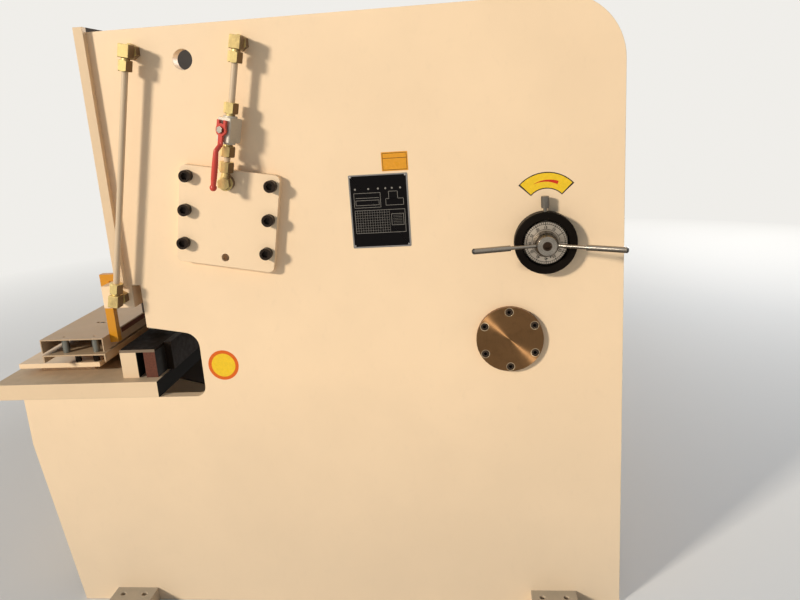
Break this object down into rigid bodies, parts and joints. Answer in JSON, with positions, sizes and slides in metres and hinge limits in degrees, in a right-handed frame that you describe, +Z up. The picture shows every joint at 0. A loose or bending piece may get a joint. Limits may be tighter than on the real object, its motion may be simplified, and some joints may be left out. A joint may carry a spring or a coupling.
{
  "type": "swing beam shear",
  "caption": "Hydraulic plate shear: throated side plates, bed, finger guard, hold-downs, a raked blade on a pivoted beam, blade gap dial, brass fittings and pipes.",
  "frame": {"origin": "on the floor, in the middle of the foundation bolts", "axes": "+X along the cutting line towards the side plate with the dial, +Y to the rear, +Z up"},
  "size_m": [3.1034, 1.726, 1.611],
  "materials": {
    "cream_paint": "satin",
    "yellow_paint": "satin",
    "red_paint": "gloss",
    "pipe_paint": "satin",
    "primer": "matte",
    "bright_steel": "brushed",
    "blade_steel": "ground",
    "gear_steel": "machined",
    "plated_steel": "zinc plated",
    "black_steel": "black oxide",
    "chrome": "polished",
    "cast_grey": "painted cast",
    "brass": "turned"
  },
  "bodies": {
    "frame": {"side_plate_right": "cream_paint", "side_plate_left": "cream_paint", "foot_plates": "cream_paint", "front_plate": "cream_paint", "bed_plate": "cream_paint", "front_apron": "cream_paint", "seat_block": "cream_paint", "blade_plate": "primer", "edge_strip": "bright_steel", "lower_blade": "blade_steel", "lower_blade_bolts": "black_steel", "table_riser": "cream_paint", "table_plate": "cream_paint", "guard_channel": "cream_paint", "guard_base": "cream_paint", "guard_posts": "bright_steel", "guard_bolts": "black_steel", "guard_hangers": "yellow_paint", "hold_down_beam": "cream_paint", "hold_down_cylinders": "black_steel", "pivot_shafts": "bright_steel", "pivot_covers": "brass", "pivot_cover_screws": "black_steel", "cylinder_covers": "cream_paint", "cylinder_screws": "black_steel", "main_cylinders": "cream_paint", "return_cylinders": "cream_paint", "dial_ring": "black_steel", "brass_elbows": "brass", "pipe_nuts": "brass", "cylinder_pipes": "pipe_paint", "hold_down_pipe": "pipe_paint", "valve_block": "plated_steel", "rear_tie": "cream_paint", "tank_shelf": "cream_paint", "drop_chute": "cream_paint", "oil_tank": "cream_paint", "tank_lid": "cream_paint", "motor": "cast_grey", "pump": "cast_grey", "manifold": "plated_steel"},
    "beam": {"swing_beam": "cream_paint", "upper_blade": "blade_steel", "gauge_rails": "cream_paint"},
    "rods": {"piston_rods": "chrome"},
    "returns": {"return_plungers": "chrome"},
    "hold_downs": {"hold_down_plungers": "bright_steel"},
    "gap_drive": {"gap_shaft": "bright_steel", "gap_pinions": "gear_steel", "dial_scale": "bright_steel", "dial_hub": "bright_steel", "dial_handles": "bright_steel"},
    "eccentrics": {"eccentric_sectors": "gear_steel"},
    "lock": {"lock_screw": "black_steel"},
    "valve": {"valve_stem": "bright_steel", "valve_lever": "red_paint", "lever_nut": "bright_steel"},
    "gauge": {"gauge_bar": "bright_steel"},
    "right_screw": {"gauge_screw_right": "bright_steel"},
    "left_screw": {"gauge_screw_left": "bright_steel"}
  },
  "joints": [
    {"name": "beam_swing", "type": "hinge", "parent": "frame", "child": "beam", "pos_m": [0, 0.508, 0.787], "axis": [1, 0, 0], "range_deg": [0, 5], "stiffness_Nm_per_rad": 5500, "springref_deg": -57.3},
    {"name": "rod_slide", "type": "slide", "parent": "frame", "child": "rods", "axis": [0, -0.1736, -0.9848], "range_m": [0, 0.0655]},
    {"name": "return_slide", "type": "slide", "parent": "frame", "child": "returns", "axis": [0, 0, -1], "range_m": [0, 0.0495]},
    {"name": "hold_down_slide", "type": "slide", "parent": "frame", "child": "hold_downs", "axis": [0, 0, -1], "range_m": [0, 0.0135], "stiffness_N_per_m": 20000, "springref_m": -0.01},
    {"name": "gap_turn", "type": "hinge", "parent": "frame", "child": "gap_drive", "pos_m": [0, 0.60002, 1.03444], "axis": [1, 0, 0], "range_deg": [-135, 135]},
    {"name": "eccentric_turn", "type": "hinge", "parent": "frame", "child": "eccentrics", "pos_m": [0, 0.508, 0.787], "axis": [1, 0, 0], "range_deg": [-30.5, 30.5]},
    {"name": "lock_turn", "type": "hinge", "parent": "frame", "child": "lock", "pos_m": [1.47, 0.60002, 1.12], "axis": [0, 0, 1], "range_deg": [0, 120]},
    {"name": "valve_turn", "type": "hinge", "parent": "frame", "child": "valve", "pos_m": [1.49, -0.14911, 1.34868], "axis": [0.9397, -0.3346, 0.071], "range_deg": [0, 90]},
    {"name": "gauge_travel", "type": "slide", "parent": "beam", "child": "gauge", "axis": [0, 1, 0], "range_m": [-0.23, 0.26]},
    {"name": "right_screw_turn", "type": "hinge", "parent": "beam", "child": "right_screw", "pos_m": [0.9, 0, 0.808], "axis": [0, 1, 0], "range_deg": [-4700, 4160]},
    {"name": "left_screw_turn", "type": "hinge", "parent": "beam", "child": "left_screw", "pos_m": [-0.9, 0, 0.808], "axis": [0, 1, 0], "range_deg": [-4700, 4160]}
  ],
  "couplings": [
    {"joint": "rod_slide", "follows": "beam_swing", "m_per_rad": 0.746},
    {"joint": "return_slide", "follows": "beam_swing", "m_per_rad": 0.5621},
    {"joint": "eccentric_turn", "follows": "gap_turn", "ratio": -0.22222},
    {"joint": "right_screw_turn", "follows": "gauge_travel", "rad_per_m": -314.16},
    {"joint": "left_screw_turn", "follows": "gauge_travel", "rad_per_m": -314.16}
  ]
}
